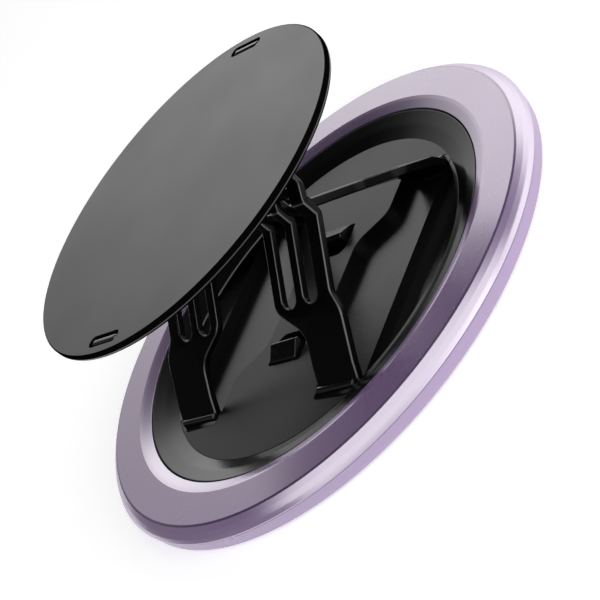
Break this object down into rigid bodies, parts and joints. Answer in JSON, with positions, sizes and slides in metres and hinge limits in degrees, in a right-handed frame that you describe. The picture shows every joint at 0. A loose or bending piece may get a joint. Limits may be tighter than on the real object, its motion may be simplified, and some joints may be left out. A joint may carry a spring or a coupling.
{
  "type": "folding magnetic phone grip",
  "caption": "Round fold-flat phone grip: a dark disc on crossed sheet-metal leg frames rises from a dished black tray in a lilac magnetic ring.",
  "frame": {"origin": "centre of the phone-side face of the pad, on the grip's axis", "axes": "+Z away from the phone through the disc, +X along the leg hinges, +Y from the near hinge to the far hinge"},
  "size_m": [0.056, 0.056, 0.0194],
  "materials": {
    "lilac_metal": "satin anodised lilac",
    "lilac_gloss": "glossy pale lilac",
    "bare_steel": "plain sheet steel",
    "magnet_plate": "nickel plated magnets",
    "soft_pad": "matt silicone",
    "black_tray": "satin black moulding",
    "black_spring": "black coated spring steel",
    "black_leg": "black coated sheet steel with bright worn edges",
    "black_disc": "satin black coated disc",
    "black_bracket": "black coated sheet steel"
  },
  "bodies": {
    "base": {"outer_ring": "lilac_metal", "base_ring": "lilac_gloss", "keeper_ring": "bare_steel", "ring_magnets": "magnet_plate", "phone_pad": "soft_pad", "tray": "black_tray", "catch_strip": "black_spring"},
    "disc": {"top_disc": "black_disc", "far_slide_bracket": "black_bracket", "near_slide_bracket": "black_bracket"},
    "near_legs": {"near_leg_frame": "black_leg"},
    "far_legs": {"far_leg_frame": "black_leg"}
  },
  "joints": [
    {"name": "disc_lift", "type": "slide", "parent": "base", "child": "disc", "axis": [0, 0, 1], "range_m": [-0.0148, 0]},
    {"name": "near_legs_fold", "type": "hinge", "parent": "base", "child": "near_legs", "pos_m": [0, -0.0129, 0.0016], "axis": [1, 0, 0], "range_deg": [-41.55, 0]},
    {"name": "far_legs_fold", "type": "hinge", "parent": "base", "child": "far_legs", "pos_m": [0, 0.0129, 0.0016], "axis": [1, 0, 0], "range_deg": [0, 41.55]}
  ],
  "couplings": [
    {"joint": "near_legs_fold", "follows": "disc_lift", "rad_per_m": 48.94},
    {"joint": "far_legs_fold", "follows": "disc_lift", "rad_per_m": -48.94}
  ]
}
